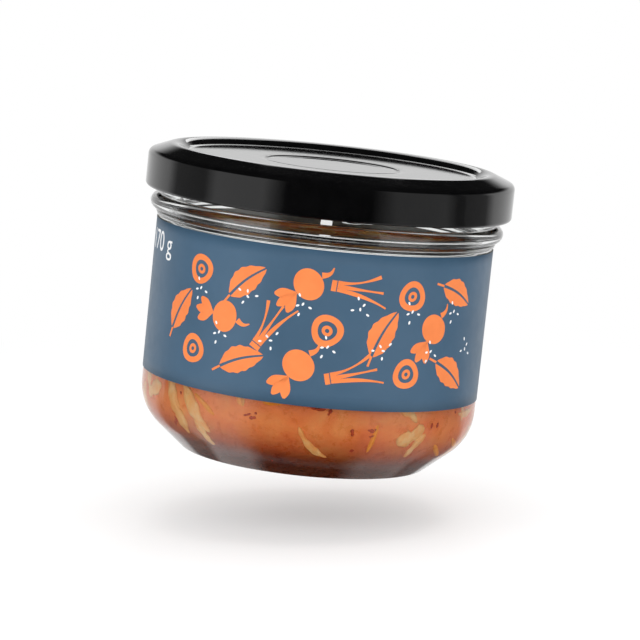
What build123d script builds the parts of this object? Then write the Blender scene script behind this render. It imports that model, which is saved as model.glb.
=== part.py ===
from build123d import *
from math import cos, pi, radians, sin, tan
import os

os.makedirs("parts", exist_ok=True)

# A squat preserving jar with a twist-off lid, a wrap-round paper label and its filling.
# Millimetres, +Z up, origin in the middle of the ring the jar stands on.

# Overall sizes
body_radius = 39.2          # outside of the glass where the label sits
body_top = 53.5             # top of the straight body, under the shoulder ring
glass_wall = 2.4

# Foot and heel of the glass
push_up = 1.6               # hollow under the base
hollow_mid = 0.6            # where along its radius the hollow's curve is set
base_thickness = 3.0        # at the middle
rest_width = 2.0            # flat ring the jar stands on
foot_inset = 11.2           # from the body in to the edge of that ring
foot_round = 1.6
heel_angle = 40.0           # slope between foot and heel, from level
heel_radius = 12.0
inner_heel_radius = 12.0
rest_outer = body_radius - foot_inset

# Shoulder ring, carrying bead and neck
neck_step = 0.1             # neck wider than the body
neck_radius = body_radius + neck_step
shoulder_swell = 0.45
shoulder_height = 1.4
bead_radius = 1.8
bead_sink = 0.05            # bead let into the ring below it
bead_offset = 0.2           # centre of the bead outside the body
bead_close = 0.98           # share of the bead's radius at which it meets the neck
bead_z = body_top + shoulder_height + bead_radius - bead_sink
bead_center_radius = body_radius + bead_offset

# Lid
sheet = 0.35
lid_overhang = 3.45         # skirt outside the neck
lid_lift = 1.55             # clear glass between bead and lid
lid_radius = neck_radius + lid_overhang
lid_bottom = bead_z + bead_radius + lid_lift
skirt_height = 7.3          # straight side of the lid
shoulder_round = 1.5
shoulder_slope = 22.0
slope_width = 3.5
crest_round = 3.2
crest_fall = 45.0           # how steeply the ridge drops to the panel
panel_drop = 1.53           # panel below the ridge crest
button_radius = 16.0
button_dip = 0.35
button_step = 0.8
curl_round = 0.9

# Glass thread runs and the lid lugs under them
thread_runs = 6
run_angle = 50.0
run_fall = 2.7              # how far one run drops from end to end
thread_proud = 1.2
thread_half_height = 0.9
thread_root = 0.4           # how deep the run is let into the neck
run_lift = 0.45             # low end of a run above the lid's edge
lug_angle = 8.0
lug_lead = 9.0              # from the end of a run back to its lug
lug_height = 1.25
lug_play = 0.6              # from the neck out to the lugs
lug_seat = 0.05             # lugs above the lid's edge
lug_round = 0.4

# Label and filling
label_bottom = 17.8
label_top_margin = 0.5
label_thickness = 0.15
label_gap = 3.0             # bare strip between the label ends, at the back
fill_drop = 6.5             # filling surface below the top of the straight body
fill_clearance = 0.05
lump_count = 14
lump_radius = 8.0
lump_rise = 1.1
lump_sway = 0.4             # share of the rise that changes from lump to lump
lump_step = 2.3
lump_turn = 137.5           # degrees from one lump to the next
lump_margin = 0.5
rim_clearance = 0.15

inner_radius = body_radius - glass_wall
floor_z = push_up + base_thickness
lid_side_top = lid_bottom + skirt_height


def side_plane(angle):
    # Upright plane through the jar axis, its x pointing out at the given angle
    a = radians(angle)
    return Plane(origin=(0, 0, 0), x_dir=(cos(a), sin(a), 0), z_dir=(sin(a), -cos(a), 0))


def slope_end():
    # Where the sloping top of the lid meets the round ridge
    r = lid_radius - shoulder_round * (1 - sin(radians(shoulder_slope)))
    z = lid_side_top + shoulder_round * cos(radians(shoulder_slope))
    return r - slope_width, z + slope_width * tan(radians(shoulder_slope))


ridge_r, ridge_z = slope_end()
crest_z = ridge_z + crest_round * (1 - cos(radians(shoulder_slope)))
panel_z = crest_z - panel_drop
rim_top = ridge_z - sheet - rim_clearance


def lid_outline(inset, bottom):
    # Half section of the lid's outer form, moved in by the inset all along
    side = JernArc(
        (lid_radius - inset, lid_side_top), (0, 1), shoulder_round - inset, 90 - shoulder_slope)
    lean = radians(shoulder_slope)
    slope = Line(side @ 1, (ridge_r - inset * sin(lean), ridge_z - inset * cos(lean)))
    crest = JernArc(slope @ 1, slope % 1, crest_round - inset, shoulder_slope + crest_fall)
    fall = (crest @ 1).Y - (panel_z - inset)
    edge = Line(crest @ 1, ((crest @ 1).X - fall / tan(radians(crest_fall)), panel_z - inset))
    step = Line(edge @ 1, (button_radius, panel_z - inset))
    dip = Line(step @ 1, (button_radius - button_step, panel_z - inset - button_dip))
    Polyline(dip @ 1, (0, panel_z - inset - button_dip), (0, bottom),
             (lid_radius - inset, bottom), side @ 0)


# Glass: one revolved wall, then the slanting thread runs round the neck
with BuildPart() as thread_run:
    with BuildSketch(side_plane(-run_angle / 2)):
        with BuildLine():
            crown = ThreePointArc(
                (neck_radius - thread_root, -thread_half_height),
                (neck_radius + thread_proud, 0),
                (neck_radius - thread_root, thread_half_height))
            Line(crown @ 1, crown @ 0)
        make_face()
    revolve(axis=Axis.Z, revolution_arc=run_angle)

run_tilt = run_fall / (2 * neck_radius * sin(radians(run_angle / 2))) * 180 / pi
run_z = lid_bottom + run_fall / 2 + run_lift
tilted_run = Pos(0, 0, run_z) * Rot(run_tilt, 0, 0) * thread_run.part

with BuildPart() as glass_jar:
    with BuildSketch(Plane.XZ):
        with BuildLine():
            rest_inner = rest_outer - rest_width
            hollow = ThreePointArc(
                (0, push_up),
                (rest_inner * hollow_mid, push_up * (1 - hollow_mid ** 2)),
                (rest_inner, 0))
            rest = Line(hollow @ 1, (rest_outer, 0))
            foot = JernArc(rest @ 1, (1, 0), foot_round, heel_angle)
            heel_r = body_radius - heel_radius * (1 - sin(radians(heel_angle)))
            heel_z = (foot @ 1).Y + (heel_r - (foot @ 1).X) * tan(radians(heel_angle))
            slope = Line(foot @ 1, (heel_r, heel_z))
            heel = JernArc(slope @ 1, slope % 1, heel_radius, 90 - heel_angle)
            side = Line(heel @ 1, (body_radius, body_top))
            swell = ThreePointArc(
                side @ 1,
                (body_radius + shoulder_swell, body_top + shoulder_height / 2),
                (body_radius + shoulder_swell / 2, body_top + shoulder_height))
            bead = ThreePointArc(
                swell @ 1,
                (bead_center_radius + bead_radius, bead_z),
                (neck_radius, bead_z + bead_radius * bead_close))
            rim_round = (neck_radius - inner_radius) / 2
            neck = Line(bead @ 1, (neck_radius, rim_top - rim_round))
            rim = ThreePointArc(
                neck @ 1, (neck_radius - rim_round, rim_top), (inner_radius, rim_top - rim_round))
            bore = Line(rim @ 1, (inner_radius, floor_z + inner_heel_radius))
            cove = JernArc(bore @ 1, (0, -1), inner_heel_radius, -90)
            Polyline(cove @ 1, (0, floor_z), (0, push_up))
        make_face()
    revolve(axis=Axis.Z)
    with PolarLocations(0, thread_runs):
        add(tilted_run)

# Lid: pressed sheet, rolled edge, and lugs bent in under the thread runs
with BuildPart() as lid:
    with BuildSketch(Plane.XZ):
        with BuildLine():
            lid_outline(0, lid_bottom + curl_round)
        make_face()
    revolve(axis=Axis.Z)
    with BuildSketch(Plane.XZ):
        with BuildLine():
            lid_outline(sheet, lid_bottom - 1)
        make_face()
    revolve(axis=Axis.Z, mode=Mode.SUBTRACT)
    with BuildSketch(Plane.XZ):
        with Locations((lid_radius - curl_round, lid_bottom + curl_round)):
            Circle(curl_round)
    revolve(axis=Axis.Z)
    lug_start = run_angle / 2 - lug_angle - lug_lead
    lug_inner = neck_radius + lug_play
    lug_outer = lid_radius - curl_round
    with BuildSketch(side_plane(lug_start)) as lug_section:
        with Locations(((lug_inner + lug_outer) / 2, lid_bottom + lug_height / 2 + lug_seat)):
            RectangleRounded(lug_outer - lug_inner, lug_height, lug_round)
    for i in range(thread_runs):
        turned = lug_section.sketch.rotate(Axis.Z, i * 360 / thread_runs)
        revolve(turned, axis=Axis.Z, revolution_arc=lug_angle)

# Label: paper wrapped round the body, its ends a little apart at the back
gap_angle = label_gap / body_radius * 180 / pi
with BuildPart() as label:
    with BuildSketch(side_plane(90 + gap_angle / 2)):
        label_top = body_top - label_top_margin
        with Locations((body_radius + label_thickness / 2, (label_bottom + label_top) / 2)):
            Rectangle(label_thickness, label_top - label_bottom)
    revolve(axis=Axis.Z, revolution_arc=360 - gap_angle)

# Filling: follows the inside of the glass, with a lumpy top
fill_top = body_top - fill_drop
fill_radius = inner_radius - fill_clearance
with BuildPart() as kimchi:
    with BuildSketch(Plane.XZ):
        with BuildLine():
            fill_floor = floor_z + fill_clearance
            wall = Line((fill_radius, fill_top), (fill_radius, floor_z + inner_heel_radius))
            cove = JernArc(wall @ 1, (0, -1), inner_heel_radius - fill_clearance, -90)
            Polyline(cove @ 1, (0, fill_floor), (0, fill_top), wall @ 0)
        make_face()
    revolve(axis=Axis.Z)
    reach = fill_radius - lump_radius - lump_margin
    for i in range(lump_count):
        r = reach * ((i + 0.5) / lump_count) ** 0.5
        a = radians(lump_turn * i)
        rise = lump_rise * (1 - lump_sway + lump_sway * sin(lump_step * i))
        with Locations((r * cos(a), r * sin(a), fill_top - lump_radius + rise)):
            Sphere(lump_radius)

glass_jar.part.label = "glass_jar"
lid.part.label = "lid"
label.part.label = "label"
kimchi.part.label = "kimchi"

export_step(glass_jar.part, "parts/glass_jar.step")
export_step(lid.part, "parts/lid.step")
export_step(label.part, "parts/label.step")
export_step(kimchi.part, "parts/kimchi.step")

for piece in (glass_jar, lid, label, kimchi):
    box = piece.part.bounding_box()
    print(piece.part.label, len(piece.part.solids()), round(piece.part.volume),
          [round(v, 2) for v in (*box.min, *box.max)])
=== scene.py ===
import math

import bmesh
import bpy
import numpy as np
from mathutils import Matrix, Vector


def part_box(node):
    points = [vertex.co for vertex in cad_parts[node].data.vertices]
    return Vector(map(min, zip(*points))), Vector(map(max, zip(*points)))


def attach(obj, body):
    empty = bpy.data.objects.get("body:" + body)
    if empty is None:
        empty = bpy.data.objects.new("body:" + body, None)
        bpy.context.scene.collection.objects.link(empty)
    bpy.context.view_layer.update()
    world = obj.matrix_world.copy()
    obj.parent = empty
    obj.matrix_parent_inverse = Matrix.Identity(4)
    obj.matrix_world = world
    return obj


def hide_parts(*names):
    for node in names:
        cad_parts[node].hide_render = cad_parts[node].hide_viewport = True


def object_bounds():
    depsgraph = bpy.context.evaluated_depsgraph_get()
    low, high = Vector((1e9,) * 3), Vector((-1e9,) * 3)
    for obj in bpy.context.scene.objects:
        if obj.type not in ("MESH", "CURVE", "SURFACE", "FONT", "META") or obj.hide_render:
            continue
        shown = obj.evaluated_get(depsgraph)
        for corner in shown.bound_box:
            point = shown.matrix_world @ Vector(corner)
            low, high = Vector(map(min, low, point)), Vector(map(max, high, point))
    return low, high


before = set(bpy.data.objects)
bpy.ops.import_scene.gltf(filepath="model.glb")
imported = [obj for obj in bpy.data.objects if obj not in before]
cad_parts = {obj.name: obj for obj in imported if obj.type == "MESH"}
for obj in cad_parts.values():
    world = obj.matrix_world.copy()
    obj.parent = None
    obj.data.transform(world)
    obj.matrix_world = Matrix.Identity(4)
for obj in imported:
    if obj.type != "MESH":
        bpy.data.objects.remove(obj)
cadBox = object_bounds()
print("frame loaded")

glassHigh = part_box("glass_jar")[1]
lidLow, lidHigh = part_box("lid")
labelLow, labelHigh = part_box("label")
fillLow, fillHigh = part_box("kimchi")


samePoint = 1e-7  # points closer than this are one


def arcPoints(centreR, centreZ, radius, startDeg, endDeg, count):
    # centre plus radius times cosine and sine of an evenly stepped angle
    a = np.radians(np.linspace(startDeg, endDeg, count))
    return np.column_stack([centreR + radius * np.cos(a), centreZ + radius * np.sin(a)])


def linePoints(start, end, count):
    # even steps from one point to the other
    t = np.linspace(0, 1, count)[:, None]
    return (1 - t) * np.array(start) + t * np.array(end)


def joinProfile(*parts):
    # stretches laid end to end, leaving out a point that repeats the one before it
    points = np.concatenate(parts)
    keep = np.r_[True, np.linalg.norm(np.diff(points, axis=0), axis=1) > samePoint]
    return points[keep]


def quadFaces(index):
    # four neighbours of every cell of a grid of vertex numbers
    return np.stack([index[:-1, :-1], index[:-1, 1:], index[1:, 1:], index[1:, :-1]], -1).reshape(-1, 4)


def closeColumns(index):
    # first column repeated at the end, so the grid runs all the way round
    return np.concatenate([index, index[:, :1]], axis=1)


def buildPiece(name, verts, faces, materials, smooth=True, pickMaterial=None):
    mesh = bpy.data.meshes.new(name)
    mesh.from_pydata(verts.tolist(), [], faces.tolist())
    return finishPiece(name, mesh, materials, smooth, pickMaterial)


def finishPiece(name, mesh, materials, smooth, pickMaterial=None):
    # doubles merged, which closes seams and poles, then faces turned outwards;
    # smooth=None leaves the shading as it is
    bm = bmesh.new()
    bm.from_mesh(mesh)
    bmesh.ops.remove_doubles(bm, verts=bm.verts, dist=samePoint)
    bmesh.ops.recalc_face_normals(bm, faces=bm.faces)
    for face in bm.faces:
        if smooth is not None:
            face.smooth = smooth
        if pickMaterial:
            face.material_index = pickMaterial(face)
    bm.to_mesh(mesh)
    bm.free()
    piece = bpy.data.objects.new(name, mesh)
    bpy.context.scene.collection.objects.link(piece)
    for material in materials:
        mesh.materials.append(material)
    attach(piece, "root")
    return piece


def spin(profile, columns, shift=None):
    # profile (r, z) carried round the axis: x = r cos a, y = r sin a, with r and z moved by shift(r, z, a)
    a = np.linspace(0, 2 * np.pi, columns, endpoint=False)[None, :]
    r = np.repeat(profile[:, :1], columns, axis=1)
    z = np.repeat(profile[:, 1:], columns, axis=1)
    if shift:
        r, z = shift(r, z, a)
    verts = np.stack([r * np.cos(a), r * np.sin(a), z], -1).reshape(-1, 3)
    return verts, quadFaces(closeColumns(np.arange(r.size).reshape(r.shape)))


def smoothStep(x):
    # 0 below 0, 1 above 1, eased in between
    x = np.clip(x, 0, 1)
    return x * x * (3 - 2 * x)


def newMaterial(name):
    material = bpy.data.materials.new(name)
    material.use_nodes = True
    nodes = material.node_tree.nodes
    return material, nodes, material.node_tree.links, nodes["Principled BSDF"]


def noiseNode(nodes, links, scale, detail=3.0, rough=0.5, stretch=(1, 1, 1), distortion=0.0):
    coords = nodes.new("ShaderNodeTexCoord")
    mapping = nodes.new("ShaderNodeMapping")
    mapping.inputs["Scale"].default_value = stretch
    noise = nodes.new("ShaderNodeTexNoise")
    noise.inputs["Scale"].default_value = scale
    noise.inputs["Detail"].default_value = detail
    noise.inputs["Roughness"].default_value = rough
    noise.inputs["Distortion"].default_value = distortion
    links.new(coords.outputs["Object"], mapping.inputs["Vector"])
    links.new(mapping.outputs["Vector"], noise.inputs["Vector"])
    return noise.outputs["Fac"]


def rampNode(nodes, links, source, stops):
    ramp = nodes.new("ShaderNodeValToRGB")
    while len(ramp.color_ramp.elements) < len(stops):
        ramp.color_ramp.elements.new(0.5)
    for element, (place, colour) in zip(ramp.color_ramp.elements, stops):
        element.position = place
        element.color = (*colour, 1)
    links.new(source, ramp.inputs["Fac"])
    return ramp.outputs["Color"]


def rangeNode(nodes, links, source, low, high):
    span = nodes.new("ShaderNodeMapRange")
    span.inputs["To Min"].default_value = low
    span.inputs["To Max"].default_value = high
    links.new(source, span.inputs["Value"])
    return span.outputs["Result"]


def mathNode(nodes, links, operation, *values):
    node = nodes.new("ShaderNodeMath")
    node.operation = operation
    for socket, value in zip(node.inputs, values):
        if hasattr(value, "is_linked"):
            links.new(value, socket)
        else:
            socket.default_value = value
    return node.outputs[0]


def easeNode(nodes, links, source, fromLow, fromHigh, toLow=0.0, toHigh=1.0):
    span = nodes.new("ShaderNodeMapRange")
    span.interpolation_type = "SMOOTHSTEP"
    ends = {"From Min": fromLow, "From Max": fromHigh, "To Min": toLow, "To Max": toHigh}
    for name, value in ends.items():
        span.inputs[name].default_value = value
    links.new(source, span.inputs["Value"])
    return span.outputs["Result"]


def timesColour(nodes, links, first, second):
    # one colour multiplied by another
    mix = nodes.new("ShaderNodeMix")
    mix.data_type = "RGBA"
    mix.blend_type = "MULTIPLY"
    mix.inputs["Factor"].default_value = 1
    links.new(first, mix.inputs["A"])
    links.new(second, mix.inputs["B"])
    return mix.outputs["Result"]


def addBump(nodes, links, shader, height, strength, distance):
    bump = nodes.new("ShaderNodeBump")
    bump.inputs["Strength"].default_value = strength
    bump.inputs["Distance"].default_value = distance
    links.new(height, bump.inputs["Height"])
    links.new(bump.outputs["Normal"], shader.inputs["Normal"])


glassLook = {
    "tint": (0.985, 0.995, 0.99),
    "refraction": 1.52,
    "hazeScale": 60,
    "haze": (0.0, 0.03),
    "waveScale": 55,
    "waveStrength": 0.25,
    "waveHeight": 0.0004,
}
lacquerLook = {
    "grainScale": 260,
    "tones": ((0.3, (0.0012, 0.0012, 0.0014)), (0.7, (0.0024, 0.0024, 0.0026))),
    "smudgeScale": 45,
    "roughness": (0.05, 0.1),
    "peelScale": 900,
    "peelStrength": 0.12,
    "peelHeight": 0.00004,
}
paperLook = {
    "cloudScale": 70,
    "cloudRough": 0.6,
    "tones": ((0.25, (0.040, 0.096, 0.162)), (0.75, (0.052, 0.114, 0.188))),
    "roughness": (0.36, 0.5),
    "backScale": 900,
    "backTones": ((0.3, (0.34, 0.33, 0.28)), (0.7, (0.44, 0.43, 0.38))),
    "backRoughness": 0.8,
}
inkLook = {
    "cloudScale": 160,
    "cloudRough": 0.65,
    "orange": ((0.25, (0.80, 0.195, 0.042)), (0.75, (0.92, 0.245, 0.060))),
    "white": ((0.25, (0.80, 0.81, 0.82)), (0.75, (0.90, 0.90, 0.90))),
    "roughness": (0.38, 0.52),
}
sheenScale = 400  # blotches in the sheen of paper and ink
fibre = {"scale": 1600, "strength": 0.1, "height": 0.00004}


def clearGlass():
    material, nodes, links, shader = newMaterial("clearGlass")
    shader.inputs["Base Color"].default_value = (*glassLook["tint"], 1)
    shader.inputs["Transmission Weight"].default_value = 1
    shader.inputs["IOR"].default_value = glassLook["refraction"]
    haze = noiseNode(nodes, links, glassLook["hazeScale"])
    links.new(rangeNode(nodes, links, haze, *glassLook["haze"]), shader.inputs["Roughness"])
    wave = noiseNode(nodes, links, glassLook["waveScale"], 1.0)
    addBump(nodes, links, shader, wave, glassLook["waveStrength"], glassLook["waveHeight"])
    return material


def blackLacquer():
    material, nodes, links, shader = newMaterial("blackLacquer")
    grain = noiseNode(nodes, links, lacquerLook["grainScale"], 3.0)
    links.new(rampNode(nodes, links, grain, lacquerLook["tones"]), shader.inputs["Base Color"])
    smudge = noiseNode(nodes, links, lacquerLook["smudgeScale"], 4.0)
    links.new(rangeNode(nodes, links, smudge, *lacquerLook["roughness"]), shader.inputs["Roughness"])
    peel = noiseNode(nodes, links, lacquerLook["peelScale"], 2.0)
    addBump(nodes, links, shader, peel, lacquerLook["peelStrength"], lacquerLook["peelHeight"])
    return material


def printedSheen(nodes, links, shader, roughness):
    # the uneven sheen and fine grain that paper and ink share
    sheen = noiseNode(nodes, links, sheenScale, 3.0)
    links.new(rangeNode(nodes, links, sheen, *roughness), shader.inputs["Roughness"])
    grain = noiseNode(nodes, links, fibre["scale"], 4.0)
    addBump(nodes, links, shader, grain, fibre["strength"], fibre["height"])


def bluePaper():
    material, nodes, links, shader = newMaterial("bluePaper")
    cloud = noiseNode(nodes, links, paperLook["cloudScale"], 5.0, paperLook["cloudRough"])
    links.new(rampNode(nodes, links, cloud, paperLook["tones"]), shader.inputs["Base Color"])
    printedSheen(nodes, links, shader, paperLook["roughness"])
    return material


def paperBack():
    material, nodes, links, shader = newMaterial("paperBack")
    pulp = noiseNode(nodes, links, paperLook["backScale"], 5.0, 0.7)
    links.new(rampNode(nodes, links, pulp, paperLook["backTones"]), shader.inputs["Base Color"])
    shader.inputs["Roughness"].default_value = paperLook["backRoughness"]
    return material


def printInk(name, tones):
    material, nodes, links, shader = newMaterial(name)
    cloud = noiseNode(nodes, links, inkLook["cloudScale"], 5.0, inkLook["cloudRough"])
    links.new(rampNode(nodes, links, cloud, tones), shader.inputs["Base Color"])
    printedSheen(nodes, links, shader, inkLook["roughness"])
    return material


sauceLook = {
    "cloudScale": 75,
    "cloudStretch": (1, 1, 1.6),
    "tones": (
        (0.30, (0.86, 0.170, 0.035)), (0.45, (0.95, 0.250, 0.055)),
        (0.58, (0.97, 0.310, 0.080)), (0.72, (0.98, 0.420, 0.120))),
    "pulpScale": 420,
    "specks": ((0.30, (0.90, 0.80, 0.70)), (0.50, (1, 1, 1)), (0.75, (1, 1.06, 1.0))),
    "darkFrom": -0.0005,  # below and above the floor of the glass
    "darkTo": 0.0085,
    # tones that darken the sauce towards the floor of the glass
    "darkerNearFloor": ((0.0, (0.16, 0.09, 0.06)), (0.35, (0.55, 0.38, 0.30)), (1.0, (1, 1, 1))),
    "roughness": (0.18, 0.4),
    "bumpStrength": 0.4,
    "bumpHeight": 0.0006,
}
cabbageLook = {
    "stainScale": 230,
    "stainStretch": (1, 1, 0.6),
    "tones": (
        (0.32, (0.96, 0.36, 0.08)), (0.47, (0.97, 0.48, 0.14)),
        (0.60, (0.98, 0.60, 0.24)), (0.78, (0.99, 0.72, 0.36))),
    "veinScale": 700,
    "roughness": (0.2, 0.42),
    "bumpStrength": 0.35,
    "bumpHeight": 0.0004,
}
wetLook = {
    "carrot": ((0.3, (0.96, 0.30, 0.02)), (0.7, (0.99, 0.42, 0.04))),
    "chilli": ((0.3, (0.40, 0.04, 0.015)), (0.7, (0.66, 0.10, 0.03))),
    "scale": 500,
    "roughness": (0.2, 0.4),
    "bumpStrength": 0.4,
    "bumpHeight": 0.0003,
}


def chilliSauce():
    # soft orange clouds with specks of pulp, darker towards the floor of the glass
    material, nodes, links, shader = newMaterial("chilliSauce")
    broad = noiseNode(nodes, links, sauceLook["cloudScale"], 4.0, 0.55, sauceLook["cloudStretch"], 0.8)
    pulp = noiseNode(nodes, links, sauceLook["pulpScale"], 5.0, 0.7)
    base = rampNode(nodes, links, broad, sauceLook["tones"])
    speck = rampNode(nodes, links, pulp, sauceLook["specks"])
    height = nodes.new("ShaderNodeSeparateXYZ")
    place = nodes.new("ShaderNodeTexCoord")
    links.new(place.outputs["Object"], height.inputs[0])
    # the sauce is made darker from just below the floor of the glass to a little above it
    low = easeNode(
        nodes, links, height.outputs["Z"],
        jar["floor"] + sauceLook["darkFrom"], jar["floor"] + sauceLook["darkTo"])
    darkerNearFloor = rampNode(nodes, links, low, sauceLook["darkerNearFloor"])
    mixed = timesColour(nodes, links, timesColour(nodes, links, base, speck), darkerNearFloor)
    links.new(mixed, shader.inputs["Base Color"])
    links.new(rangeNode(nodes, links, pulp, *sauceLook["roughness"]), shader.inputs["Roughness"])
    addBump(nodes, links, shader, pulp, sauceLook["bumpStrength"], sauceLook["bumpHeight"])
    return material


def stainedCabbage():
    material, nodes, links, shader = newMaterial("stainedCabbage")
    stain = noiseNode(nodes, links, cabbageLook["stainScale"], 4.0, 0.6, cabbageLook["stainStretch"], 0.5)
    links.new(rampNode(nodes, links, stain, cabbageLook["tones"]), shader.inputs["Base Color"])
    vein = noiseNode(nodes, links, cabbageLook["veinScale"], 4.0, 0.6)
    links.new(rangeNode(nodes, links, vein, *cabbageLook["roughness"]), shader.inputs["Roughness"])
    addBump(nodes, links, shader, vein, cabbageLook["bumpStrength"], cabbageLook["bumpHeight"])
    return material


def wetPiece(name, tones):
    material, nodes, links, shader = newMaterial(name)
    blotch = noiseNode(nodes, links, wetLook["scale"], 4.0, 0.6)
    links.new(rampNode(nodes, links, blotch, tones), shader.inputs["Base Color"])
    links.new(rangeNode(nodes, links, blotch, *wetLook["roughness"]), shader.inputs["Roughness"])
    addBump(nodes, links, shader, blotch, wetLook["bumpStrength"], wetLook["bumpHeight"])
    return material


jar = {
    "bodyRadius": glassHigh.x - 0.002,
    "wall": 0.0024,
    "bodyTop": labelHigh.z + 0.0005,
    "pushUp": 0.0016,
    "floor": fillLow.z - 0.00005,
    "restInner": 0.026,
    "restOuter": 0.028,
    "footRound": 0.0016,
    "heelAngle": 40,
    "heelRadius": 0.012,
    "coveRadius": 0.012,
    "swell": 0.00045,
    "swellHeight": 0.0014,
    "beadRadius": 0.0018,
    "beadOffset": 0.0002,
    "beadSink": 0.00005,
    "neckStep": 0.0001,
    "rimTop": glassHigh.z,
    "threadRuns": 6,
    "runHalfAngle": math.radians(25),
    "runFall": 0.0027,
    "runEase": 0.14,
    "runProud": 0.0012,
    "runHalfHeight": 0.0009,
    "runLift": 0.00045,
    "seamAngle": math.radians(-146.25),
    "seamProud": 0.00006,
    "seamWidth": 0.0005,
    "outerSkin": 0.0015,  # from the inner wall out to what counts as the outside
    "columns": 384,
}
jar["neckRadius"] = jar["bodyRadius"] + jar["neckStep"]
jar["innerRadius"] = jar["bodyRadius"] - jar["wall"]
jar["beadZ"] = jar["bodyTop"] + jar["swellHeight"] + jar["beadRadius"] - jar["beadSink"]
jar["runZ"] = lidLow.z + jar["runFall"] / 2 + jar["runLift"]


def jarProfile():
    # hollow base, standing ring, sloping foot, round heel and straight side, then two rings, neck and rim,
    # then down the inside: each stretch is a straight line, an arc, or a parabola under the base
    heel = math.radians(jar["heelAngle"])
    footR = jar["restOuter"] + jar["footRound"] * math.sin(heel)
    footZ = jar["footRound"] * (1 - math.cos(heel))
    heelCentreR = jar["bodyRadius"] - jar["heelRadius"]
    heelR = heelCentreR + jar["heelRadius"] * math.sin(heel)
    heelZ = footZ + (heelR - footR) * math.tan(heel)
    heelCentreZ = heelZ + jar["heelRadius"] * math.cos(heel)
    hollowR = np.linspace(0, jar["restInner"], 14)
    hollow = np.column_stack([hollowR, jar["pushUp"] * (1 - (hollowR / jar["restInner"]) ** 2)])
    foot = arcPoints(jar["restOuter"], jar["footRound"], jar["footRound"], -90, -90 + jar["heelAngle"], 6)
    slope = linePoints((footR, footZ), (heelR, heelZ), 8)
    heelArc = arcPoints(heelCentreR, heelCentreZ, jar["heelRadius"], -90 + jar["heelAngle"], 0, 22)
    side = linePoints(heelArc[-1], (jar["bodyRadius"], jar["bodyTop"]), 18)
    t = np.linspace(0, 1, 10)
    swell = np.column_stack([
        jar["bodyRadius"] + jar["swell"] * (np.sin(np.pi * t) + 0.5 * t) / 1.25,
        jar["bodyTop"] + jar["swellHeight"] * t])
    bead = arcPoints(jar["bodyRadius"] + jar["beadOffset"], jar["beadZ"], jar["beadRadius"], -86, 92, 24)
    rimRound = (jar["neckRadius"] - jar["innerRadius"]) / 2
    neckFoot = jar["beadZ"] + jar["beadRadius"]
    neck = linePoints((jar["neckRadius"], neckFoot), (jar["neckRadius"], jar["rimTop"] - rimRound), 44)
    rim = arcPoints(jar["neckRadius"] - rimRound, jar["rimTop"] - rimRound, rimRound, 0, 180, 14)
    coveZ = jar["floor"] + jar["coveRadius"]
    bore = linePoints(rim[-1], (jar["innerRadius"], coveZ), 24)
    cove = arcPoints(jar["innerRadius"] - jar["coveRadius"], coveZ, jar["coveRadius"], 0, -90, 20)
    floor = linePoints(cove[-1], (0, jar["floor"]), 8)
    return joinProfile(hollow, foot, slope, heelArc, side, swell, bead, neck, rim, bore, cove, floor)


def threadShift(r, z, a):
    # outer neck pushed out along slanting runs: half an ellipse across each run, eased away at its ends,
    # and a fine bell-shaped seam up both sides of the mould
    local = (a + jar["runHalfAngle"]) % (2 * np.pi / jar["threadRuns"]) - jar["runHalfAngle"]
    rise = jar["runFall"] / 2 * np.sin(local) / math.sin(jar["runHalfAngle"])
    across = (z - jar["runZ"] - rise) / jar["runHalfHeight"]
    swell = jar["runProud"] * np.sqrt(np.clip(1 - across ** 2, 0, 1))
    ends = smoothStep((jar["runHalfAngle"] - np.abs(local)) / jar["runEase"])
    outside = r > jar["innerRadius"] + jar["outerSkin"]
    onNeck = outside & (z > jar["beadZ"] + jar["beadRadius"] * 0.9)
    fromSeam = np.abs((a - jar["seamAngle"] + np.pi / 2) % np.pi - np.pi / 2) * jar["bodyRadius"]
    ridge = jar["seamProud"] * np.exp(-(fromSeam / jar["seamWidth"]) ** 2) * outside
    return r + np.where(onNeck, swell * ends, 0) + ridge, z + 0 * a


glassFinish = clearGlass()
lidFinish = blackLacquer()
paperFinish = bluePaper()
backFinish = paperBack()
orangeInk = printInk("orangeInk", inkLook["orange"])
whiteInk = printInk("whiteInk", inkLook["white"])
sauceFinish = chilliSauce()
cabbageFinish = stainedCabbage()
carrotFinish = wetPiece("carrotFlesh", wetLook["carrot"])
flakeFinish = wetPiece("chilliSkin", wetLook["chilli"])
print("finishes made")

glassVerts, glassFaces = spin(jarProfile(), jar["columns"], threadShift)
glassPiece = buildPiece("glassJar", glassVerts, glassFaces, [glassFinish])
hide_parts("glass_jar")
print("glass made", len(glassPiece.data.polygons))


lid = {
    "radius": lidHigh.x,
    "sheet": 0.00035,
    "bottom": lidLow.z,
    "skirt": 0.0073,
    "shoulderRound": 0.0015,
    "slopeAngle": 22,
    "slopeWidth": 0.0035,
    "crestRound": 0.0032,
    "fallAngle": 45,
    "panelDrop": 0.00153,
    "buttonRadius": 0.016,
    "buttonDip": 0.00035,
    "buttonStep": 0.0008,
    "panelEdge": 0.0004,
    "curl": 0.0009,
    "lugs": 6,
    "lugHalfAngle": math.radians(4),
    "lugAngle": math.radians(12),
    "lugHeight": 0.00125,
    "lugPlay": 0.0006,
    "lugSeat": 0.00005,
    "lugSquareness": 0.45,
    "columns": 360,
}


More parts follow.
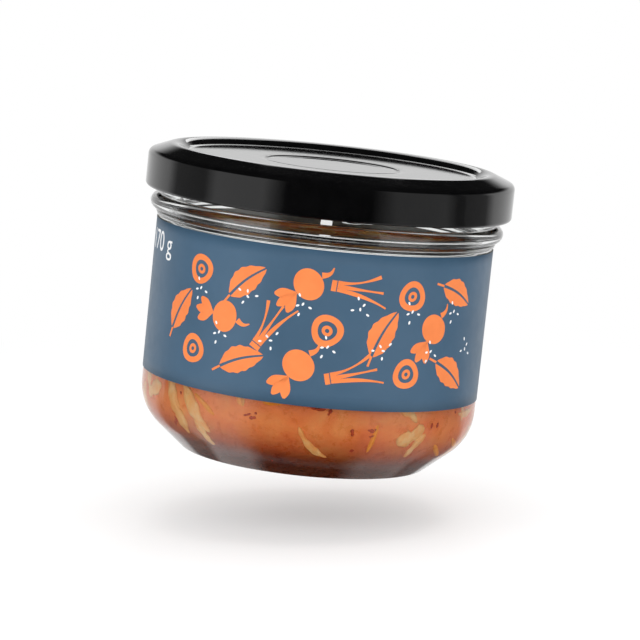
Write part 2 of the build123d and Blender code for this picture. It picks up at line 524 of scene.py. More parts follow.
def lidOutline(inset):
    # from the middle of the button out over the ridge to the top of the skirt: lines and arcs,
    # moved in by the inset all along
    top = lid["bottom"] + lid["skirt"]
    slope = math.radians(lid["slopeAngle"])
    fall = math.radians(lid["fallAngle"])
    shoulderR = lid["radius"] - lid["shoulderRound"]
    ridgeR = shoulderR + lid["shoulderRound"] * math.sin(slope) - lid["slopeWidth"]
    ridgeZ = top + lid["shoulderRound"] * math.cos(slope) + lid["slopeWidth"] * math.tan(slope)
    crestR = ridgeR - lid["crestRound"] * math.sin(slope)
    crestZ = ridgeZ - lid["crestRound"] * math.cos(slope)
    panelZ = crestZ + lid["crestRound"] - lid["panelDrop"] - inset
    crest = arcPoints(
        crestR, crestZ, lid["crestRound"] - inset, 90 + lid["fallAngle"], 90 - lid["slopeAngle"], 26)
    edgeR = crest[0, 0] - (crest[0, 1] - panelZ) / math.tan(fall)
    t = np.linspace(0, 1, 9)
    dip = np.column_stack([
        lid["buttonRadius"] - lid["buttonStep"] * (1 - t),
        panelZ - lid["buttonDip"] * (1 - smoothStep(t))])
    button = linePoints((0, panelZ - lid["buttonDip"]), dip[0], 10)
    edge = lid["panelEdge"]
    panel = linePoints(dip[-1], (edgeR - edge, panelZ), 12)
    foot = np.column_stack([edgeR - edge + 2 * edge * t, panelZ + edge * t ** 2])
    shoulder = arcPoints(shoulderR, top, lid["shoulderRound"] - inset, 90 - lid["slopeAngle"], 0, 14)
    slopeLine = linePoints(crest[-1], shoulder[0], 6)
    return joinProfile(button, dip, panel, foot, crest, slopeLine, shoulder)


def lidProfile():
    # outer form, skirt, rolled edge, then back along the inside of the sheet
    outer = lidOutline(0)
    inner = lidOutline(lid["sheet"])[::-1]
    skirt = linePoints(outer[-1], (lid["radius"], lid["bottom"] + lid["curl"]), 8)
    curl = arcPoints(
        lid["radius"] - lid["curl"], lid["bottom"] + lid["curl"], lid["curl"], 0, -235, 26)
    inside = linePoints((lid["radius"] - lid["sheet"], lid["bottom"] + lid["curl"] * 2), inner[0], 8)
    return joinProfile(outer, skirt, curl, inside, inner)


def lidLugs():
    # rounded blocks inside the rolled edge: a superellipse section carried round a short arc,
    # shrinking at its ends
    innerR = jar["neckRadius"] + lid["lugPlay"]
    outerR = lid["radius"] - lid["curl"]
    across = np.linspace(0, 2 * np.pi, 20, endpoint=False)[None, :]
    along = np.linspace(-1, 1, 13)[:, None]
    size = np.clip(1 - along ** 8, 0, 1) ** 0.5
    power = lid["lugSquareness"]
    sideways = np.sign(np.cos(across)) * np.abs(np.cos(across)) ** power * size
    upward = np.sign(np.sin(across)) * np.abs(np.sin(across)) ** power * size
    r = (innerR + outerR) / 2 + sideways * (outerR - innerR) / 2
    z = lid["bottom"] + lid["lugSeat"] + lid["lugHeight"] * (1 + upward) / 2
    verts, faces = [], []
    for i in range(lid["lugs"]):
        a = lid["lugAngle"] + along * lid["lugHalfAngle"] + i * 2 * np.pi / lid["lugs"] + 0 * across
        index = np.arange(r.size).reshape(r.shape) + i * r.size
        verts.append(np.stack([r * np.cos(a), r * np.sin(a), z], -1).reshape(-1, 3))
        faces.append(quadFaces(closeColumns(index)))
    return np.concatenate(verts), np.concatenate(faces)


lidVerts, lidFaces = spin(lidProfile(), lid["columns"])
lidPiece = buildPiece("twistLid", lidVerts, lidFaces, [lidFinish])
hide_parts("lid")
lugVerts, lugFaces = lidLugs()
lugPiece = buildPiece("lidLugs", lugVerts, lugFaces, [lidFinish])
print("lid made")


label = {
    "outer": labelHigh.x,
    "inner": jar["bodyRadius"] - 0.00003,  # tucked a hair into the glass
    "low": labelLow.z,
    "high": labelHigh.z,
    "gap": 0.003,
    "columns": 300,
    "rows": 12,
}
label["height"] = label["high"] - label["low"]


def wrapOnLabel(u, v, lift):
    # u runs round the jar from the middle of the front, v up from the label's lower edge
    a = -np.pi / 2 + u / label["outer"]
    r = label["outer"] + lift
    return np.stack([r * np.cos(a), r * np.sin(a), label["low"] + v], -1)


def labelShell():
    # two sheets, x = r cos a and y = r sin a at the inner and the outer radius, joined along all four edges
    halfGap = label["gap"] / 2 / label["outer"]
    a = np.linspace(np.pi / 2 + halfGap, 5 * np.pi / 2 - halfGap, label["columns"])
    z = np.linspace(label["low"], label["high"], label["rows"])
    sheets = []
    for r in (label["inner"], label["outer"]):
        aa, zz = np.meshgrid(a, z)
        sheets.append(np.stack([r * np.cos(aa), r * np.sin(aa), zz], -1).reshape(-1, 3))
    size = label["columns"] * label["rows"]
    inner = np.arange(size).reshape(label["rows"], label["columns"])
    outer = inner + size
    edges = [quadFaces(np.stack(pair)) for pair in edgePairs(inner, outer)]
    return np.concatenate(sheets), np.concatenate([quadFaces(inner), quadFaces(outer)] + edges)


def edgePairs(first, second):
    # the four matching edges of two grids
    return (
        (first[0], second[0]), (first[-1], second[-1]),
        (first[:, 0], second[:, 0]), (first[:, -1], second[:, -1]))


def labelSide(face):
    # the printed face outside, plain paper inside and along the cut edges
    middle = face.calc_center_median()
    outward = Vector((middle.x, middle.y, 0)).normalized()
    return 0 if face.normal.dot(outward) > 0.5 else 1


labelVerts, labelFaces = labelShell()
labelPiece = buildPiece(
    "wrapLabel", labelVerts, labelFaces, [paperFinish, backFinish],
    pickMaterial=labelSide)
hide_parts("label")
print("label made")


ink = {"lift": 0.00003, "sink": 0.00004}


class PrintSheet:
    # collects thin closed plates of ink and turns them into one piece
    def __init__(self):
        self.verts, self.faces, self.count = [], [], 0

    def plate(self, u, v, wrap=False, pole=False):
        # a grid in the label's own u and v, given a top, an underside and walls round its edges
        size = u.size
        top = np.arange(size).reshape(u.shape) + self.count
        low = top + size
        for lift in (ink["lift"], -ink["sink"]):
            self.verts.append(wrapOnLabel(u, v, lift).reshape(-1, 3))
        self.count += 2 * size
        topRound = closeColumns(top) if wrap else top
        lowRound = closeColumns(low) if wrap else low
        walls = [(topRound[-1], lowRound[-1])]
        if not pole:
            walls.append((topRound[0], lowRound[0]))
        if not wrap:
            walls += [(top[:, 0], low[:, 0]), (top[:, -1], low[:, -1])]
        self.faces += [quadFaces(topRound), quadFaces(lowRound)]
        self.faces += [quadFaces(np.stack(pair)) for pair in walls]

    def piece(self, name, material):
        verts, faces = np.concatenate(self.verts), np.concatenate(self.faces)
        return buildPiece(name, verts, faces, [material], smooth=False)


def placed(u, v, spot):
    # turned by the spot's angle, scaled, then moved to the spot
    c, s = math.cos(spot["turn"]), math.sin(spot["turn"])
    k = spot["size"]
    return spot["u"] + k * (c * u - s * v), spot["v"] + k * (s * u + c * v)


def ribbon(sheet, spot, centreU, centreV, halfWidth):
    # a strip of changing width laid along a curved line
    du, dv = np.gradient(centreU), np.gradient(centreV)
    length = np.hypot(du, dv)
    across = np.linspace(-1, 1, 5)[:, None]
    u = centreU - across * halfWidth * dv / length
    v = centreV + across * halfWidth * du / length
    sheet.plate(*placed(u, v, spot))


def disc(sheet, spot, outline, centre=(0, 0), inner=0.0):
    # rings from the middle, or from an inner ring, out to an outline radius given for each angle
    a = np.linspace(0, 2 * np.pi, 40, endpoint=False)[None, :]
    rho = np.linspace(inner, 1, 7)[:, None]
    u = centre[0] + rho * outline(a) * np.cos(a)
    v = centre[1] + rho * outline(a) * np.sin(a)
    sheet.plate(*placed(u, v, spot), wrap=True, pole=inner == 0)


# sizes of the motifs as shares of a motif's length
leaf = {
    "width": 0.52, "rib": 0.018, "ribGrow": 0.012, "ripple": 0.05, "ripples": 34, "bow": 0.05, "stem": 0.022}
radish = {"radius": 0.3, "root": 0.28, "leaf": 0.46, "leafWidth": 0.075, "leafSpread": 0.55}
onion = {"outer": 0.3, "outerHole": 0.6, "inner": 0.1, "innerHole": 0.4}
stalk = {"spread": (-0.22, 0.0, 0.24), "length": 1.05, "width": 0.03, "gap": 0.075, "tie": 0.11}
seed = {"count": 5, "turn": 2.4, "spacing": 0.26, "width": 0.08625, "slimness": 3.2}


def halfLeaf(sheet, spot, side):
    # one blade of a leaf: from the bare midrib out to an edge that swells as a sine, with cosine ripples
    t = np.linspace(0.02, 0.98, 26)[None, :]
    s = np.linspace(0, 1, 6)[:, None]
    rib = leaf["rib"] + leaf["ribGrow"] * (1 - t)
    swell = np.sin(np.pi * t ** 0.85) ** 0.8
    edge = leaf["width"] / 2 * swell * (1 + leaf["ripple"] * np.cos(t * leaf["ripples"]))
    u = t - 0.5 + 0 * s
    v = side * (rib + np.clip(edge - rib, 0.002, None) * s) + leaf["bow"] * np.sin(np.pi * t)
    sheet.plate(*placed(u, v, spot))


def leafMotif(sheet, spot):
    for side in (1, -1):
        halfLeaf(sheet, spot, side)
    t = np.linspace(0, 1, 8)
    ribbon(sheet, spot, -0.49 - 0.2 * t, -0.04 * t, leaf["stem"] + 0 * t)


def radishMotif(sheet, spot):
    # a slightly pointed disc, a thinning root and three leaves
    disc(sheet, spot, lambda a: radish["radius"] * (1 + 0.1 * np.cos(a) - 0.06 * np.cos(2 * a)), (-0.12, 0))
    t = np.linspace(0, 1, 14)
    ribbon(sheet, spot, -0.4 - radish["root"] * t, 0.06 * np.sin(3 * t), 0.05 * (1 - t) + 0.012)
    along = np.linspace(0, 1, 16)
    for lean in (-radish["leafSpread"], 0, radish["leafSpread"]):
        reach = (radish["leaf"] - 0.06 * abs(lean)) * along
        wide = 0.02 + radish["leafWidth"] * np.sin(np.pi * along ** 1.4) ** 0.9
        ribbon(sheet, spot, 0.2 + reach * math.cos(lean), reach * math.sin(lean), wide)


def ringMotif(sheet, spot):
    # two rings, one in the other, a little out of round
    disc(sheet, spot, lambda a: onion["outer"] * (1 + 0.04 * np.cos(3 * a + 1)), inner=onion["outerHole"])
    disc(sheet, spot, lambda a: onion["inner"] * (1 + 0.05 * np.cos(2 * a)), inner=onion["innerHole"])


def stalkMotif(sheet, spot):
    # three stalks that spread from a tie
    t = np.linspace(0, 1, 26)
    for k, spread in enumerate(stalk["spread"]):
        reach = -0.5 + t * (stalk["length"] - 0.1 * k)
        bend = spread * t ** 2 + (k - 1) * stalk["gap"]
        ribbon(sheet, spot, reach, bend, stalk["width"] + 0.012 * np.sin(5 * t + k))
    ribbon(sheet, spot, -0.62 + 0.1 * t, 0 * t, stalk["tie"] + 0 * t)


def seedMotif(sheet, spot):
    # small ovals laid out in a spiral, each pointing outwards
    for k in range(seed["count"]):
        a = seed["turn"] * k
        out = seed["spacing"] * math.sqrt(k)
        disc(
            sheet, spot,
            lambda b: seed["width"] / np.sqrt(np.cos(b - a) ** 2 + seed["slimness"] * np.sin(b - a) ** 2),
            (out * math.cos(a), out * math.sin(a)))


pattern = {
    "pitch": 0.0128,
    "rows": (0.0086, 0.0176, 0.0266),
    "motifSize": 0.0116,
    "sizeSpread": 0.1,
    "shiftAlong": 0.0016,
    "shiftUp": 0.0012,
    "tilt": 0.35,
    "tiltSpread": 1.9,
    "endRoom": 0.62,
    "seedSize": 0.004836,
    "seedLift": 0.0052,
    "sideStart": math.radians(52),
    "sideEnd": math.radians(118),
    "seed": 5,
}


def layPattern():
    # staggered rows of orange motifs with white seeds between them; the two side panels stay plain
    rng = np.random.default_rng(pattern["seed"])
    orange, white = PrintSheet(), PrintSheet()
    motifs = (leafMotif, radishMotif, stalkMotif, ringMotif)
    around = 2 * math.pi * label["outer"] - label["gap"]
    steps = int(around / pattern["pitch"])
    lastU = around / 2 - pattern["motifSize"] * pattern["endRoom"]
    for row, v in enumerate(pattern["rows"]):
        for k in range(steps):
            u = (k + 0.5 * (row % 2) + 0.25) * around / steps - around / 2
            turn, jitterU, jitterV, grow = rng.uniform(-0.5, 0.5, 4)
            onSide = pattern["sideStart"] < abs(u) / label["outer"] < pattern["sideEnd"]
            if onSide or abs(u) > lastU:
                continue
            motifs[(k + 2 * row) % len(motifs)](orange, {
                "u": u + pattern["shiftAlong"] * jitterU,
                "v": v + pattern["shiftUp"] * jitterV,
                "turn": pattern["tilt"] + pattern["tiltSpread"] * turn + math.pi * (k % 2),
                "size": pattern["motifSize"] * (1 + pattern["sizeSpread"] * grow)})
            if row < len(pattern["rows"]) - 1:
                seedMotif(white, {
                    "u": u + around / steps / 2, "v": v + pattern["seedLift"],
                    "turn": 3 * turn, "size": pattern["seedSize"]})
    return orange, white


orangeSheet, whiteSheet = layPattern()
orangePrint = orangeSheet.piece("orangePrint", orangeInk)
whitePrint = whiteSheet.piece("whitePrint", whiteInk)
print("pattern laid", len(orangePrint.data.polygons), len(whitePrint.data.polygons))


weight = {
    "words": "170 g",
    "digitHeight": 0.0046,
    "startAngle": math.radians(-80),
    "belowEdge": 0.0023,
    "curveSteps": 6,
    "flatDepth": 0.01,
}


def weightMark():
    # plain lettering made flat, then bent round the label: x becomes an angle, y a height, z a step out
    curve = bpy.data.curves.new("netWeight", "FONT")
    curve.body = weight["words"]
    curve.size = 1
    curve.resolution_u = weight["curveSteps"]
    curve.extrude = weight["flatDepth"]
    maker = bpy.data.objects.new("netWeightMaker", curve)
    bpy.context.scene.collection.objects.link(maker)
    bpy.context.view_layer.update()
    flat = bpy.data.meshes.new_from_object(maker.evaluated_get(bpy.context.evaluated_depsgraph_get()))
    bpy.data.objects.remove(maker)
    co = np.zeros(len(flat.vertices) * 3)
    flat.vertices.foreach_get("co", co)
    co = co.reshape(-1, 3)
    scale = weight["digitHeight"] / co[:, 1].max()
    u = weight["startAngle"] * label["outer"] + (co[:, 0] - co[:, 0].min()) * scale
    v = label["height"] - weight["belowEdge"] - weight["digitHeight"] + co[:, 1] * scale
    lift = np.where(co[:, 2] > 0, ink["lift"], -ink["sink"])
    flat.vertices.foreach_set("co", wrapOnLabel(u, v, lift).ravel())
    flat.update()
    flat.materials.clear()
    return finishPiece("netWeight", flat, [whiteInk], smooth=None)


weightPiece = weightMark()
print("net weight made")


fill = {
    "intoWall": 0.00012,
    "top": fillHigh.z - 0.0011,
    "edge": 0.001,  # round of the level at the glass
    "lump": 0.0009,
    "columns": 240,
    "strips": 72,
    "topStrips": 70,
    "flakes": 44,
    "seed": 11,
}
fill["radius"] = jar["innerRadius"] + fill["intoWall"]
fill["floor"] = jar["floor"] - fill["intoWall"]
fill["cove"] = jar["coveRadius"]


def fillTopHeight(x, y):
    # three crossing waves over the level, each finer and lower than the last
    broad = np.sin(260 * x + 1.3) * np.cos(210 * y)
    middle = 0.6 * np.sin(430 * y + 300 * x)
    return fill["lump"] * (broad + middle + 0.4 * np.cos(610 * x - 350 * y))


def fillShift(r, z, a):
    # only the rows of the top surface follow the lumps
    onTop = z > fill["top"] - 1e-6
    return r + 0 * a, z + np.where(onTop, fillTopHeight(r * np.cos(a), r * np.sin(a)), 0)


def fillProfile():
    # floor, cove and wall of the glass, a little into it, then in over the level to the middle
    cove = arcPoints(fill["radius"] - fill["cove"], fill["floor"] + fill["cove"], fill["cove"], -90, 0, 24)
    floor = linePoints((0, fill["floor"]), cove[0], 8)
    wall = linePoints(cove[-1], (fill["radius"], fill["top"] - fill["edge"]), 20)
    level = linePoints((fill["radius"], fill["top"]), (0, fill["top"]), 40)
    return joinProfile(floor, cove, wall, level)


def wallPlace(along):
    # a distance up the glass from the start of the cove gives radius, height and the outward direction there
    quarter = fill["cove"] * np.pi / 2
    turn = np.clip(along / fill["cove"], 0, np.pi / 2)
    r = fill["radius"] - fill["cove"] + fill["cove"] * np.sin(turn) + np.minimum(along, 0)
    z = fill["floor"] + fill["cove"] * (1 - np.cos(turn)) + np.maximum(along - quarter, 0)
    return r, z, np.sin(turn), -np.cos(turn)


class Shreds:
    # collects closed strips, each an oval carried along a bent line and shrinking to a point at both ends
    def __init__(self):
        self.verts, self.faces, self.count = [], [], 0

    def add(self, points):
        rows, columns = points.shape[:2]
        index = np.arange(rows * columns).reshape(rows, columns) + self.count
        self.verts.append(points.reshape(-1, 3))
        self.faces.append(quadFaces(closeColumns(index)))
        self.count += rows * columns

    def onWall(self, angle, height, length, lean, bend, width, thick, rough, phase):
        # centre line drawn on the unrolled wall, section across it and out through it
        t = np.linspace(0, 1, 26)[:, None]
        b = np.linspace(0, 2 * np.pi, 14, endpoint=False)[None, :]
        heading = lean + bend * (t - 0.5)
        step = length / (len(t) - 1)
        lineU = np.cumsum(np.cos(heading)) * step
        lineV = np.cumsum(np.sin(heading)) * step
        lineU = (lineU - lineU.mean())[:, None]
        lineV = (lineV - lineV.mean())[:, None]
        taper = np.clip(np.sin(np.pi * t), 0, 1) ** 0.45
        ragged = 1 + rough * np.sin(9 * t + phase) + 0.5 * rough * np.sin(23 * t + 2 * phase)
        side = width * taper * ragged * np.cos(b)
        out = thick * taper * np.sin(b) * (1 + 0.25 * np.cos(4 * b + phase))
        along = height + lineV + side * np.cos(heading)
        r, z, nr, nz = wallPlace(along)
        a = angle + (lineU - side * np.sin(heading)) / fill["radius"]
        r = r + out * nr
        self.add(np.stack([r * np.cos(a), r * np.sin(a), z + out * nz], -1))

    def onTop(self, x, y, length, lean, bend, width, thick, phase):
        # the same strip lying on the lumpy level
        t = np.linspace(0, 1, 22)[:, None]
        b = np.linspace(0, 2 * np.pi, 12, endpoint=False)[None, :]
        heading = lean + bend * (t - 0.5)
        step = length / (len(t) - 1)
        lineX = np.cumsum(np.cos(heading)) * step
        lineY = np.cumsum(np.sin(heading)) * step
        lineX = x + (lineX - lineX.mean())[:, None]
        lineY = y + (lineY - lineY.mean())[:, None]
        taper = np.clip(np.sin(np.pi * t), 0, 1) ** 0.4
        side = width * taper * np.cos(b) * (1 + 0.2 * np.sin(8 * t + phase))
        px = lineX - side * np.sin(heading)
        py = lineY + side * np.cos(heading)
        rise = 0.0006 * np.sin(5 * t + phase) + thick * taper * np.sin(b)
        self.add(np.stack([px, py, fill["top"] + fillTopHeight(px, py) + rise + 0.0002], -1))

    def piece(self, name, material):
        verts, faces = np.concatenate(self.verts), np.concatenate(self.faces)
        return buildPiece(name, verts, faces, [material])


def frontAngle(degrees):
    # degrees to the right of the middle of the front
    return -math.pi / 2 + math.radians(degrees)


# the shreds, flakes and tips that lie against the front:
# angle from the front, distance up the wall, length, lean, bend, half width
frontShreds = (
    (-54, 0.0190, 0.0130, -1.35, 0.5, 0.0019),
    (-51, 0.0130, 0.0090, -1.15, -0.6, 0.0015),
    (-43, 0.0160, 0.0140, -1.00, 0.4, 0.0016),
    (-40, 0.0105, 0.0085, -1.30, 0.5, 0.0013),
    (-24, 0.0215, 0.0075, -1.35, 0.7, 0.0010),
    (3, 0.0110, 0.0110, -0.80, 0.9, 0.0008),
    (36, 0.0200, 0.0090, -0.50, -0.8, 0.0012),
    (40, 0.0145, 0.0080, 0.40, 1.4, 0.0018),
    (44, 0.0120, 0.0070, 1.10, -0.9, 0.0010),
)
frontCarrot = (-11, 0.0205, 0.0062, 0.15, 0.5, 0.0011)
frontFlakes = ((4, 0.0198, 0.0042, 0.0, 1.2, 0.0004), (8, 0.0192, 0.0018, 1.2, 0.5, 0.0004))
frontTips = ((49, 0.0165, 0.0013, 1.5, 0, 0.0003), (52, 0.0165, 0.0013, 1.5, 0, 0.0003))

# lowest and highest value of each measure; thick is how far a piece stands out on either side of the wall
shred = {
    "clearFrom": -62, "clearTo": 56,  # degrees of the front kept for the pieces above
    "height": (0.006, 0.024), "length": (0.006, 0.015), "width": (0.0007, 0.002), "thick": (0.0003, 0.0005),
    "lean": 3.4, "bend": 2, "rough": 0.2, "frontThick": 0.0005, "frontRough": 0.22,
}
carrotBit = {
    "count": 16, "height": (0.005, 0.024), "length": 0.007, "width": 0.0006, "thick": 0.0003, "rough": 0.08,
    "frontThick": 0.0004, "frontRough": 0.1,
}
flake = {
    "height": (0.003, 0.025), "length": (0.0006, 0.002), "width": (0.00022, 0.00042), "thick": 0.00028,
    "bend": 0.3, "rough": 0.3, "frontThick": 0.0004, "tipRough": 0.2,
}
topShred = {
    "margin": 0.009, "turn": 2.4, "length": (0.008, 0.018), "bend": 2.5, "width": (0.001, 0.0026),
    "thick": 0.0009,
}


def between(ends, share):
    # straight-line step from the lowest to the highest value
    return ends[0] + (ends[1] - ends[0]) * share


def frontPieces(cabbage, carrot, flakes):
    for k, (angle, *sizes) in enumerate(frontShreds):
        cabbage.onWall(frontAngle(angle), *sizes, shred["frontThick"], shred["frontRough"], 1.7 * k)
    angle, *sizes = frontCarrot
    carrot.onWall(frontAngle(angle), *sizes, carrotBit["frontThick"], carrotBit["frontRough"], 0)
    for k, (angle, *sizes) in enumerate(frontFlakes):
        flakes.onWall(frontAngle(angle), *sizes, flake["frontThick"], flake["rough"], 1 + k)
    for k, (angle, *sizes) in enumerate(frontTips):
        flakes.onWall(frontAngle(angle), *sizes, flake["frontThick"], flake["tipRough"], 3 + k)


def scatteredPieces(cabbage, carrot, flakes):
    # round the rest of the wall, then over the level, in a fixed random order
    rng = np.random.default_rng(fill["seed"])
    for k in range(fill["strips"]):
        angle, height, length, lean, bend, width, phase = rng.uniform(0, 1, 7)
        degrees = -180 + 360 * (k + angle) / fill["strips"]
        if shred["clearFrom"] < degrees < shred["clearTo"]:
            continue
        cabbage.onWall(
            frontAngle(degrees), between(shred["height"], height), between(shred["length"], length),
            (lean - 0.5) * shred["lean"], (bend - 0.5) * shred["bend"], between(shred["width"], width),
            between(shred["thick"], phase), shred["rough"], 6 * phase)
    for k in range(carrotBit["count"]):
        angle, height, lean, bend = rng.uniform(0, 1, 4)
        carrot.onWall(
            frontAngle(-180 + 360 * (k + angle) / carrotBit["count"]), between(carrotBit["height"], height),
            carrotBit["length"], lean * 3, bend - 0.5, carrotBit["width"], carrotBit["thick"],
            carrotBit["rough"], 2 * k)
    for k in range(fill["flakes"]):
        angle, height, length, lean, width = rng.uniform(0, 1, 5)
        flakes.onWall(
            frontAngle(-180 + 360 * angle), between(flake["height"], height),
            between(flake["length"], length ** 2), lean * 3, flake["bend"],
            between(flake["width"], width), flake["thick"], flake["rough"], 7 * width)
    for k in range(fill["topStrips"]):
        spread, length, lean, bend, width, phase = rng.uniform(0, 1, 6)
        radius = (fill["radius"] - topShred["margin"]) * math.sqrt((k + 0.5) / fill["topStrips"])
        a = topShred["turn"] * k + spread
        cabbage.onTop(
            radius * math.cos(a), radius * math.sin(a), between(topShred["length"], length), 6.3 * lean,
            (bend - 0.5) * topShred["bend"], between(topShred["width"], width), topShred["thick"], 6 * phase)


fillVerts, fillFaces = spin(fillProfile(), fill["columns"], fillShift)
saucePiece = buildPiece("kimchiSauce", fillVerts, fillFaces, [sauceFinish])
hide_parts("kimchi")
cabbage, carrot, flakes = Shreds(), Shreds(), Shreds()
frontPieces(cabbage, carrot, flakes)
scatteredPieces(cabbage, carrot, flakes)
cabbagePiece = cabbage.piece("cabbageShreds", cabbageFinish)
carrotPiece = carrot.piece("carrotShreds", carrotFinish)
flakePiece = flakes.piece("chilliFlakes", flakeFinish)
print("kimchi made", len(cabbagePiece.data.polygons))


studio = {
    "floorSize": 60.0,
    "floorDrop": 0.015,
    "shadowShare": 0.62,
    "throughGlass": 0.3,
    "floorGlow": 0.36,
    "shadowReach": (0.09, 0.3),
    "floorTone": 0.85,
    "screens": (  # place from behind, 0, to straight in front, 1, and how bright it is there
        (0.0, 0.95), (0.25, 0.95), (0.33, 0.25), (0.56, 0.25), (0.64, 0.95), (0.88, 0.95), (0.95, 0.015)),
    "rightShare": 0.55,
    "rightFrom": 0.3,
    "horizon": (0.16, 0.36),
    "dark": 0.015,
    "ambient": 0.75,
}


def shinyShare(nodes, links):
    # 1 for mirror rays and less for rays through glass, as long as they have met no matt surface
    path = nodes.new("ShaderNodeLightPath")
    fresh = mathNode(nodes, links, "LESS_THAN", path.outputs["Diffuse Depth"], 0.5)
    through = mathNode(nodes, links, "MULTIPLY", path.outputs["Is Transmission Ray"], studio["throughGlass"])
    level = mathNode(nodes, links, "MAXIMUM", path.outputs["Is Glossy Ray"], through)
    either = mathNode(
        nodes, links, "MAXIMUM", path.outputs["Is Glossy Ray"], path.outputs["Is Transmission Ray"])
    return path, mathNode(nodes, links, "MULTIPLY", either, fresh), level


def roomGlow(nodes, links, coordinate):
    # brightness by direction: dark straight in front, a pale screen at each side, pale again behind
    coords = nodes.new("ShaderNodeTexCoord")
    parts = nodes.new("ShaderNodeSeparateXYZ")
    links.new(coords.outputs[coordinate], parts.inputs[0])
    x, y, z = parts.outputs
    squareX = mathNode(nodes, links, "MULTIPLY", x, x)
    squareY = mathNode(nodes, links, "MULTIPLY", y, y)
    reach = mathNode(nodes, links, "SQRT", mathNode(nodes, links, "ADD", squareX, squareY))
    frontness = mathNode(nodes, links, "MULTIPLY_ADD", mathNode(nodes, links, "DIVIDE", y, reach), -0.5, 0.5)
    screens = [(place, (value,) * 3) for place, value in studio["screens"]]
    sideways = mathNode(nodes, links, "DIVIDE", x, reach)
    right = easeNode(nodes, links, sideways, 0.0, studio["rightFrom"], 1.0, studio["rightShare"])
    behind = easeNode(nodes, links, y, -0.01, 0.01)
    share = mathNode(nodes, links, "MINIMUM", mathNode(nodes, links, "ADD", right, behind), 1.0)
    return mathNode(nodes, links, "MULTIPLY", rampNode(nodes, links, frontness, screens), share), z, reach


view = {
    "distance": 0.75,
    "elevation": math.radians(7.8),
    "roll": math.radians(5.985),
    "aim": (0.0009, 0.0, 0.0321),
    "lens": 180.3,
    "sensor": 36,
    "farthest": 20,
}


def studioFloor():
    # level for the camera, so it slopes by the camera's roll, and the jar hangs a little above it;
    # seen straight it is white with the jar's shadow, and seen in gloss or glass it is roomGlow
    half = studio["floorSize"] / 2
    c, s = half * math.cos(view["roll"]), half * math.sin(view["roll"])
    level = cadBox[0][2] - studio["floorDrop"]
    low, high = level - s, level + s
    mesh = bpy.data.meshes.new("floor")
    corners = [(-c, -half, low), (c, -half, high), (c, half, high), (-c, half, low)]
    mesh.from_pydata(corners, [], [(0, 1, 2, 3)])
    floor = bpy.data.objects.new("floor", mesh)
    bpy.context.scene.collection.objects.link(floor)
    material, nodes, links, shader = newMaterial("paleFloor")
    nodes.remove(shader)
    glow, _, reach = roomGlow(nodes, links, "Object")
    plain = nodes.new("ShaderNodeBsdfDiffuse")
    plain.inputs["Color"].default_value = (*(studio["floorTone"],) * 3, 1)
    dimmed = nodes.new("ShaderNodeBsdfDiffuse")
    dimmed.inputs["Color"].default_value = (*(studio["shadowShare"],) * 3, 1)
    lit = nodes.new("ShaderNodeEmission")
    lit.inputs["Strength"].default_value = studio["floorGlow"]
    shaded = nodes.new("ShaderNodeAddShader")
    white = nodes.new("ShaderNodeEmission")
    seen = nodes.new("ShaderNodeMixShader")
    mirrored = nodes.new("ShaderNodeEmission")
    other = nodes.new("ShaderNodeMixShader")
    pick = nodes.new("ShaderNodeMixShader")
    path, shiny, level = shinyShare(nodes, links)
    links.new(dimmed.outputs[0], shaded.inputs[0])
    links.new(lit.outputs[0], shaded.inputs[1])
    links.new(easeNode(nodes, links, reach, *studio["shadowReach"]), seen.inputs[0])
    links.new(shaded.outputs[0], seen.inputs[1])
    links.new(white.outputs[0], seen.inputs[2])
    links.new(mathNode(nodes, links, "MULTIPLY", glow, level), mirrored.inputs["Strength"])
    links.new(shiny, other.inputs[0])
    links.new(plain.outputs[0], other.inputs[1])
    links.new(mirrored.outputs[0], other.inputs[2])
    links.new(path.outputs["Is Camera Ray"], pick.inputs[0])
    links.new(other.outputs[0], pick.inputs[1])
    links.new(seen.outputs[0], pick.inputs[2])
    links.new(pick.outputs[0], nodes["Material Output"].inputs["Surface"])
    mesh.materials.append(material)


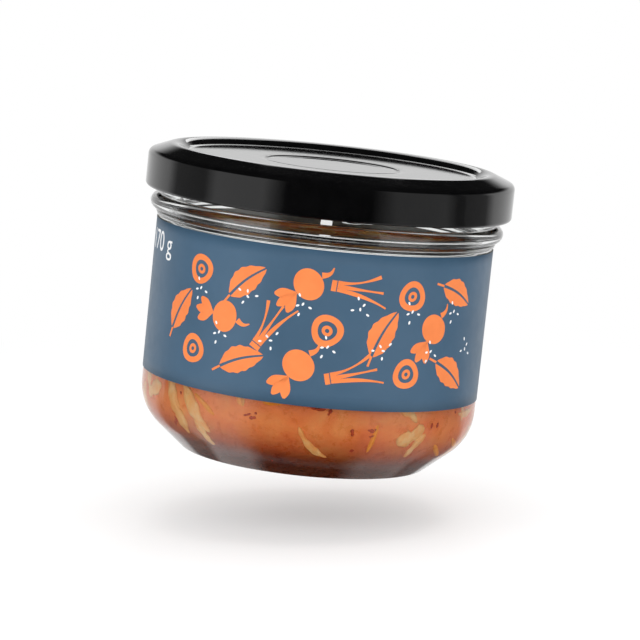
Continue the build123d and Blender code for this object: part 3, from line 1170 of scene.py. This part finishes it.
def studioWorld():
    # white to the camera, a plain room to matt surfaces, and to shiny ones roomGlow near the horizon
    world = bpy.data.worlds.new("studio")
    world.use_nodes = True
    bpy.context.scene.world = world
    nodes, links = world.node_tree.nodes, world.node_tree.links
    nodes["Background"].inputs["Color"].default_value = (1, 1, 1, 1)
    glow, z, _ = roomGlow(nodes, links, "Generated")
    low = easeNode(nodes, links, z, *studio["horizon"], 1.0, 0.0)
    nearHorizon = mathNode(nodes, links, "MULTIPLY", glow, low)
    room = mathNode(nodes, links, "MAXIMUM", nearHorizon, studio["dark"])
    path, shiny, level = shinyShare(nodes, links)
    other, pick = nodes.new("ShaderNodeMix"), nodes.new("ShaderNodeMix")
    other.inputs["A"].default_value = studio["ambient"]
    pick.inputs["B"].default_value = 1
    links.new(shiny, other.inputs["Factor"])
    links.new(mathNode(nodes, links, "MULTIPLY", room, level), other.inputs["B"])
    links.new(path.outputs["Is Camera Ray"], pick.inputs["Factor"])
    links.new(other.outputs["Result"], pick.inputs["A"])
    links.new(pick.outputs["Result"], nodes["Background"].inputs["Strength"])


# place, width, height, brightness, and whether gloss shows the lamp
lamps = {
    "leftBox": ((-0.66, -0.46, 0.26), 0.52, 0.5, 1.6, False),
    "rightBox": ((0.64, -0.42, 0.26), 0.56, 0.5, 1.2, False),
    "topBox": ((0.0, 0.5, 0.36), 0.2, 0.32, 2.4, True),
    "overhead": ((0.0, 0.0, 0.8), 0.6, 0.6, 1.6, False),
    "frontFill": ((0.0, -0.85, 0.5), 0.9, 0.7, 1.4, False),
}
lampTarget = (0, 0, 0.035)


def studioLamps():
    # area lamps facing the jar: the power is the brightness wanted times pi times the area
    for name, (place, width, height, brightness, inGloss) in lamps.items():
        lamp = bpy.data.lights.new(name, "AREA")
        lamp.shape = "RECTANGLE"
        lamp.size = width
        lamp.size_y = height
        lamp.energy = brightness * math.pi * width * height
        holder = bpy.data.objects.new(name, lamp)
        turn = (Vector(lampTarget) - Vector(place)).to_track_quat("-Z", "Y").to_matrix().to_4x4()
        holder.matrix_world = Matrix.Translation(place) @ turn
        holder.visible_camera = False
        holder.visible_glossy = inGloss
        holder.visible_transmission = not inGloss
        bpy.context.scene.collection.objects.link(holder)


def studioCamera():
    # looks at the aim from the front, a little above, rolled so the jar leans to the right
    camera = bpy.data.cameras.new("camera")
    camera.sensor_width = view["sensor"]
    camera.lens = view["lens"]
    camera.clip_end = view["farthest"]
    holder = bpy.data.objects.new("camera", camera)
    bpy.context.scene.collection.objects.link(holder)
    back = Vector((0, -math.cos(view["elevation"]), math.sin(view["elevation"])))
    right = Vector((1, 0, 0))
    up = back.cross(right)
    c, s = math.cos(view["roll"]), math.sin(view["roll"])
    rolledRight = right * c + up * s
    rolledUp = up * c - right * s
    turn = Matrix((rolledRight, rolledUp, back)).transposed().to_4x4()
    holder.matrix_world = Matrix.Translation(Vector(view["aim"]) + back * view["distance"]) @ turn
    bpy.context.scene.camera = holder


studioFloor()
studioWorld()
studioLamps()
studioCamera()
bpy.context.scene.view_settings.view_transform = "Standard"
print("studio set")
